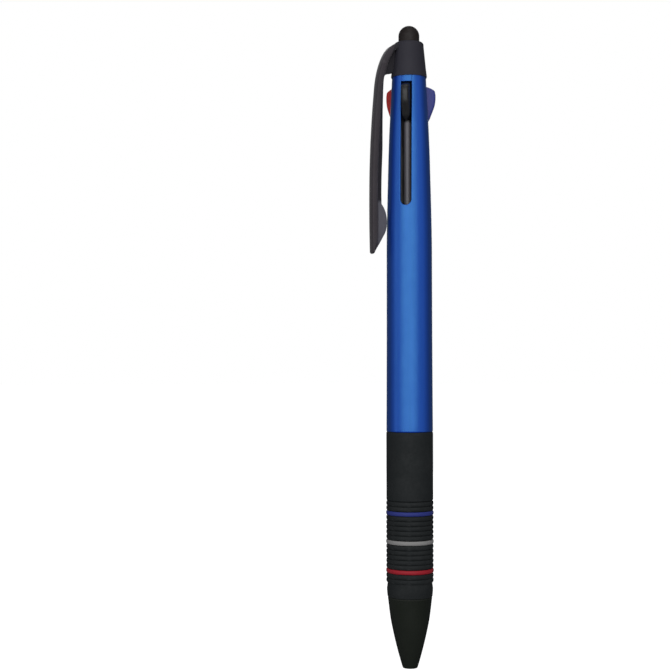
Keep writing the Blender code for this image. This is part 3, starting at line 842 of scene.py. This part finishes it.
def make_core():
    """The rod between the stems with its three guide fins."""
    low, high = span("slider_core")
    rod, head = 0.72, 1.88
    corners = [(0, low, 0), (rod, low, 0.25), (rod, KEY_LOW, 0), (head, KEY_LOW, 0.1)]
    corners += [(head, high, 0.2), (0, high, 0)]
    fin_root, fin_low, fin_high, fin_width, fin_edge = 0.2, low + 0.1, KEY_LOW - 0.03, 0.5, 0.12
    outline = [(fin_root, fin_low, 0), (3.9, fin_low, 0.4), (3.6, 119.0, 1.0), (3.3, 125.0, 1.0)]
    outline = rounded(outline + [(2.85, fin_high, 0.2), (fin_root, fin_high, 0)])
    fins = []
    for angle in SLIDER_ANGLES.values():
        fins.append(moved(soft_plate(outline, fin_width, fin_edge, 3), angle=angle + 180))
    core = combined(turned(rounded(corners), SMALL_SIDES), fins)
    riding("guide_core", core, FINISHES["core"], "slider_core")


def make_plate():
    """The plate the springs stand on, with a hole for each refill."""
    low, high = span("spring_plate")
    radius, hole = 4.28, 1.25
    disc = turned(rounded([(0, low, 0), (radius, low, 0.15), (radius, high, 0.15), (0, high, 0)]))
    bore = [(0, low - 1), (hole, low - 1), (hole, high + 1), (0, high + 1)]
    holes = [moved(turned(bore, SMALL_SIDES), STEM_OUT, a) for a in SLIDER_ANGLES.values()]
    riding("spring_seat_plate", combined(disc, holes, "DIFFERENCE"), FINISHES["plain"], "spring_plate")


# ---------------------------------------------------------------- sliders, refills and springs


def thumb_button():
    """A shark-fin button with a crowned face, which is round below and square above."""
    front = radius_along(BUTTON_FRONT)
    low, high = BUTTON_FRONT[0][1], BUTTON_FRONT[-1][1]
    back, half, tip_share, shoulder = 2.1, 0.92, 0.003, 0.3
    round_below, corner = 1.9, 0.35
    most_crown, crown_from, crown_power, side_power = 0.75, 3.0, 0.8, 0.9
    steps, rows = 8, 44
    loops = []
    for k in range(rows + 1):
        z = low + (high - low) * (1 - math.cos(math.pi * k / rows)) / 2
        below = max(0.0, 1 - (z - low) / round_below)
        above = max(0.0, 1 - (high - z) / corner)
        wide = half * math.sqrt(max(tip_share, 1 - below**2))
        wide -= shoulder * (1 - math.sqrt(1 - above**2))
        crown = min(most_crown, 0.5 * (front(z) - crown_from))
        arc = []
        for step in range(-steps, steps + 1):
            turn = math.pi / 2 * step / steps
            out = front(z) - crown * (1 - math.cos(turn) ** crown_power)
            arc.append((out, wide * math.copysign(abs(math.sin(turn)) ** side_power, turn), z))
        loops.append([(back, -wide, z)] + arc + [(back, wide, z)])
    return skin(loops)


def make_slider(colour, angle):
    """A shark-fin thumb button with soft edges on its round stem, whose foot presses the spring."""
    low, high = span(f"slider_{colour}")
    peg, seat, seat_low, seat_high = 0.68, 1.38, 104.0, 105.2
    corners = [(0, low, 0), (peg, low, 0.2), (peg, seat_low, 0), (seat, seat_low, 0.1)]
    corners += [(seat, seat_high, 0.2), (STEM_RADIUS, seat_high, 0)]
    corners += [(STEM_RADIUS, high, 0.3), (0, high, 0)]
    stem = moved(turned(rounded(corners), SMALL_SIDES), STEM_OUT)
    slider = moved(combined(stem, [thumb_button()]), angle=angle)
    riding(f"press_slider_{colour}", slider, FINISHES[colour], f"slider_{colour}")


def bent(bm, angle, ball_height):
    """A straight refill piece leant in along the refill's middle line and turned to its place."""
    off_axis, slope, straight = 0.47, 0.1, 12.0
    straight_end = off_axis + slope * straight
    bend = 2 * (STEM_OUT - straight_end) / slope
    for vert in bm.verts:
        along = vert.co.z - ball_height
        if along <= straight:
            vert.co.x += off_axis + slope * along
        else:
            left = max(0.0, straight + bend - along)
            vert.co.x += STEM_OUT - slope / (2 * bend) * left**2
    return moved(bm, angle=angle)


def make_refill(colour, angle):
    """An open ink tube, the needle point plugged into it, and the ball in the point's end."""
    tube_low, tube_high = span(f"refill_tube_{colour}")
    tip_high = span(f"refill_tip_{colour}")[1]
    ball_low, ball_high = span(f"writing_ball_{colour}")
    wall, bore, bent_length = 1.1, 0.78, 12
    heights = list(np.linspace(tube_low, tube_low + bent_length, 25))
    heights += list(np.linspace(tube_low + bent_length + 4, tube_high, 16))
    section = [(wall - 0.1, tube_low)] + [(wall, z + 0.05) for z in heights[:-1]]
    section += [(wall, tube_high - 0.08), (wall - 0.08, tube_high)]
    section += [(bore, z) for z in reversed(heights)]
    tube = bent(turned(section, SMALL_SIDES), angle, ball_low)
    riding(f"ink_tube_{colour}", tube, FINISHES[f"tube_{colour}"], f"refill_tube_{colour}")

    collar, collar_low, collar_high, plug = 1.12, ball_low + 9.0, ball_low + 10.5, 0.7
    lip, socket_high = ball_low + 0.3, ball_low + 0.8
    corners = [(0, tip_high, 0), (0, socket_high, 0), (0.22, socket_high, 0), (0.285, lip, 0.02)]
    corners += [(0.35, lip, 0.03), (0.47, lip + 1.1, 0.2), (0.47, lip + 2.2, 0.05)]
    corners += [(0.56, lip + 2.4, 0.05), (0.6, lip + 5.2, 0.1), (0.62, collar_low - 0.5, 0.2)]
    corners += [(collar - 0.12, collar_low - 0.1, 0.1), (collar, collar_low + 0.15, 0.1)]
    corners += [(collar, collar_high, 0.06), (plug, collar_high, 0), (plug, tip_high, 0.12)]
    tip = bent(turned(rounded(corners, 3), SMALL_SIDES), angle, ball_low)
    riding(f"writing_point_{colour}", tip, FINISHES["point"], f"refill_tip_{colour}")

    radius = (ball_high - ball_low) / 2
    turns = [math.pi * k / 12 - math.pi / 2 for k in range(13)]
    sphere = [(radius * math.cos(a), ball_low + radius + radius * math.sin(a)) for a in turns]
    sphere[0], sphere[-1] = (0, ball_low), (0, ball_high)
    ball = bent(turned(sphere, SMALL_SIDES), angle, ball_low)
    riding(f"rolling_ball_{colour}", ball, FINISHES["ball"], f"writing_ball_{colour}")


def make_spring(colour, angle):
    """A compression spring with closed end coils, riding on its node's body."""
    wire, radius, coils, end_coils = 0.15, 1.375, 9, 1.25
    per_turn, wire_sides = 22, 8
    low, high = SPRING_LOW + wire, SPRING_HIGH - wire
    total = coils + 2 * end_coils
    closed_rise = 2.2 * wire
    loops = []
    for k in range(int(total * per_turn) + 1):
        turns = k / per_turn
        rise_low = closed_rise * min(turns, end_coils)
        rise_high = closed_rise * max(0.0, turns - (total - end_coils))
        middle = min(max((turns - end_coils) / coils, 0.0), 1.0)
        z = low + rise_low + rise_high + middle * (high - low - 2 * closed_rise * end_coils)
        around = 2 * math.pi * turns
        out = Vector((math.cos(around), math.sin(around), 0))
        loop = []
        for a in turns_of(wire_sides):
            loop.append(out * (radius + wire * math.cos(a)) + Vector((0, 0, z + wire * math.sin(a))))
        loops.append(loop)
    node = f"return_spring_{colour}"
    bm = moved(skin(loops), STEM_OUT, angle)
    spring = riding(f"coil_spring_{colour}", bm, FINISHES["spring"], node)
    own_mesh(spring)


# ---------------------------------------------------------------- front section


def thread_height(angle, height):
    """How far the thread stands up there, from 0 to 1; it runs out smoothly at both ends."""
    run_out = 0.8
    phase = ((height - THREAD_LOW) / THREAD_PITCH - angle / (2 * math.pi)) % 1.0
    ridge = max(0.0, min(1.0, 2.2 * (0.5 - abs(phase - 0.5)) - 0.05))
    from_low, from_high = (height - THREAD_LOW) / run_out, (THREAD_HIGH - height) / run_out
    return ridge * min(1.0, max(0.0, from_low), max(0.0, from_high))


def make_inner_barrel():
    """The tube under the grip; its spigot carries a real helical thread."""
    core, bore, plain = 4.1, 3.4, 4.24
    rows = [(core - 0.12, SPIGOT_LOW), (core, SPIGOT_LOW + 0.15), (core, GRIP_HIGH - 0.05)]
    rows += [(plain, GRIP_HIGH + 0.05), (THREAD_ROOT, THREAD_LOW - 0.1)]
    rows += [(THREAD_ROOT, z) for z in np.linspace(THREAD_LOW, THREAD_HIGH, 60)]
    rows += [(THREAD_ROOT - 0.03, SPIGOT_HIGH - 0.25), (core, SPIGOT_HIGH), (bore + 0.1, SPIGOT_HIGH)]
    rows += [(bore, SPIGOT_HIGH - 0.1), (bore, SPIGOT_LOW)]
    loops = []
    for angle in turns_of(ROUND_SIDES):
        loop = []
        for r, z in rows:
            if r == THREAD_ROOT:
                r += THREAD_DEPTH * thread_height(angle, z)
            loop.append((r * math.cos(angle), r * math.sin(angle), z))
        loops.append(loop)
    riding("threaded_inner_barrel", skin(loops, closed=True), FINISHES["core"], "lower_barrel")


def make_grip():
    """A smooth sleeve above and round ribs below, with a groove under each coloured ring."""
    top_ring = sum(span("grip_ring_blue")) / 2
    first, bore, groove_half, groove = -2, 4.2, 0.5, 4.9
    shoulder = top_ring - first * RIB_PITCH + RIB_PITCH / 2
    section = [(bore, GRIP_HIGH), (GRIP_RADIUS - 0.14, GRIP_HIGH)]
    section += [(GRIP_RADIUS - 0.04, GRIP_HIGH - 0.06), (GRIP_RADIUS, GRIP_HIGH - 0.22)]
    section += [(GRIP_RADIUS, z) for z in np.linspace(GRIP_HIGH - 2, shoulder + 0.5, 8)]
    section += [(GRIP_RADIUS - 0.02, shoulder + 0.2), (RIB_VALLEY, shoulder)]
    steps = 8
    for place in range(first, LAST_RIB_PLACE + 1):
        middle = top_ring - place * RIB_PITCH
        if place in RING_PLACES.values():
            section += [(RIB_VALLEY, middle + groove_half), (groove, middle + groove_half)]
            section += [(groove, middle - groove_half), (RIB_VALLEY, middle - groove_half)]
            continue
        for step in range(1, steps):
            turn = math.pi * step / steps
            z = middle + RIB_PITCH / 2 * math.cos(turn)
            section.append((RIB_VALLEY + (RIB_CREST - RIB_VALLEY) * math.sin(turn) ** 0.8, z))
        if place + 1 not in RING_PLACES.values():
            section.append((RIB_VALLEY, middle - RIB_PITCH / 2))
    section += [(5.3, 18.3), (5.27, 17.6), (5.17, GRIP_LOW + 0.15), (5.1, GRIP_LOW)]
    section += [(bore, GRIP_LOW)]
    riding("grip_cover", turned(section), FINISHES["grip"], "grip_sleeve")


def make_ring(colour):
    """A coloured ring with a gently bulging face, let into the grip."""
    low, high = span(f"grip_ring_{colour}")
    middle, half = (low + high) / 2, (high - low) / 2
    bore, side, outer, bulge = 4.95, 5.3, 5.47, 0.2
    section = [(bore, low), (side, low)]
    for k in range(9):
        turn = -math.pi / 2 + math.pi * k / 8
        section.append((outer - bulge + bulge * math.cos(turn), middle + half * math.sin(turn)))
    section += [(side, high), (bore, high)]
    riding(f"colour_ring_{colour}", turned(section), FINISHES[f"ring_{colour}"], f"grip_ring_{colour}")


def make_nose():
    """A tapered nose with a small flat end and a cone-shaped bore for the points."""
    high = span("nose_cone")[1]
    outline = [(1.84, 0.5), (2.2, 1.7), (2.84, 4.0), (3.42, 6.3), (3.94, 8.6), (4.4, 10.9)]
    outline += [(4.73, 13.2), (5.0, 15.5), (5.09, high - 0.2)]
    section = [(1.42, 0.0), (1.5, 0.0), (1.62, 0.03), (1.72, 0.14)]
    section += smooth_outline(outline)
    seat, seat_low = 4.22, SPIGOT_LOW - 0.1
    section += [(5.02, high - 0.04), (4.9, high), (seat, high), (seat, seat_low), (3.2, seat_low)]
    section += [(2.95, 9.7), (2.8, 8.2), (2.66, 6.3)]
    section += [(2.15, 5.9), (1.82, 3.2), (1.36, 0.4), (1.33, 0.12)]
    riding("nose_shell", turned(section), FINISHES["nose"], "nose_cone")


# ---------------------------------------------------------------- studio


# The camera's azimuth, counted from -Y towards +X
VIEW_AZIMUTH = -20.8


def soft_box(name, turn, elevation, distance, size, power):
    """A soft white light that faces the pen's middle, turned this far from the camera."""
    a, e = math.radians(VIEW_AZIMUTH + turn), math.radians(elevation)
    way = Vector((math.sin(a) * math.cos(e), -math.cos(a) * math.cos(e), math.sin(e)))
    light = bpy.data.lights.new(name, "AREA")
    light.shape = "RECTANGLE"
    light.size, light.size_y = size
    light.energy = power
    obj = bpy.data.objects.new(name, light)
    obj.location = way * distance
    obj.rotation_mode = "QUATERNION"
    obj.rotation_quaternion = way.to_track_quat("Z", "Y")
    bpy.context.scene.collection.objects.link(obj)


def make_lights():
    """A wide box behind the camera, weak ones at the sides, one above and one behind the pen."""
    soft_box("key_soft_box", -3, 9, 0.75, (1.25, 0.6), 5.6)
    soft_box("left_soft_box", -70, 5, 0.75, (0.12, 0.9), 0.7)
    soft_box("right_soft_box", 66, 5, 0.75, (0.5, 0.9), 0.5)
    soft_box("top_soft_box", 10, 70, 0.8, (0.6, 0.6), 1.2)
    soft_box("back_soft_box", 180, 20, 0.9, (0.5, 0.7), 2.5)


def make_world():
    """The backdrop is plain white to look at, and the room around it is dim."""
    world = bpy.data.worlds.new("studio")
    bpy.context.scene.world = world
    world.use_nodes = True
    nodes, links = world.node_tree.nodes, world.node_tree.links
    seen, room = nodes["Background"], nodes.new("ShaderNodeBackground")
    seen.inputs["Color"].default_value = (1, 1, 1, 1)
    room.inputs["Color"].default_value = (0.9, 0.92, 1.0, 1)
    room.inputs["Strength"].default_value = 0.15
    mix, path = nodes.new("ShaderNodeMixShader"), nodes.new("ShaderNodeLightPath")
    links.new(path.outputs["Is Camera Ray"], mix.inputs["Fac"])
    links.new(room.outputs["Background"], mix.inputs[1])
    links.new(seen.outputs["Background"], mix.inputs[2])
    links.new(mix.outputs["Shader"], nodes["World Output"].inputs["Surface"])


def make_floor():
    """A wide pale floor below the pen, which throws no light back at it."""
    drop, reach = 28.0, 6000.0
    bm = bmesh.new()
    rim = [bm.verts.new((reach * math.cos(a), reach * math.sin(a), -drop)) for a in turns_of(64)]
    bm.faces.new(rim)
    bmesh.ops.scale(bm, verts=bm.verts, vec=(MM, MM, MM))
    bmesh.ops.translate(bm, verts=bm.verts, vec=(0, 0, NOSE_END))
    floor = loose_object(bm)
    floor.name = "studio_floor"
    finish = Finish("pale_floor", (0.12, 0.12, 0.12), 0.9)
    finish.use_roughness(finish.spread(finish.noise(40.0), 0.85, 0.95))
    finish.set(Emission_Color=(1, 1, 1, 1), Emission_Strength=1.0)
    floor.data.materials.append(finish.material)
    floor.visible_glossy = floor.visible_diffuse = False


def make_camera():
    """The eye is level with the barrel's lower part and turned so that the pen stands to the right."""
    distance, eye_height, yaw, pitch, roll = 323.0, 70.0, 3.03, 1.12, 0.06
    a = math.radians(VIEW_AZIMUTH)
    camera = bpy.data.cameras.new("camera")
    camera.lens, camera.sensor_width = 75.0, 36.0
    camera.clip_start, camera.clip_end = 0.01, 20.0
    obj = bpy.data.objects.new("camera", camera)
    back = Vector((math.sin(a), -math.cos(a), 0))
    obj.location = back * distance * MM + Vector((0, 0, NOSE_END + eye_height * MM))
    look = Matrix.Rotation(math.radians(yaw), 3, "Z") @ -back
    look = look * math.cos(math.radians(pitch)) + Vector((0, 0, math.sin(math.radians(pitch))))
    obj.rotation_mode = "QUATERNION"
    tilt = Matrix.Rotation(math.radians(roll), 3, look)
    obj.rotation_quaternion = (tilt @ look.to_track_quat("-Z", "Y").to_matrix()).to_quaternion()
    bpy.context.scene.collection.objects.link(obj)
    bpy.context.scene.camera = obj


bpy.context.scene.view_settings.view_transform = "Standard"
make_camera()
make_world()
make_lights()
make_floor()
make_stylus()
make_stud()
make_cap()
make_clip()
make_barrel()
make_key_ring()
make_core()
make_plate()
for slider_colour, slider_angle in SLIDER_ANGLES.items():
    make_slider(slider_colour, slider_angle)
    make_refill(slider_colour, slider_angle)
    make_spring(slider_colour, slider_angle)
make_inner_barrel()
make_grip()
for ring_colour in RING_PLACES:
    make_ring(ring_colour)
make_nose()
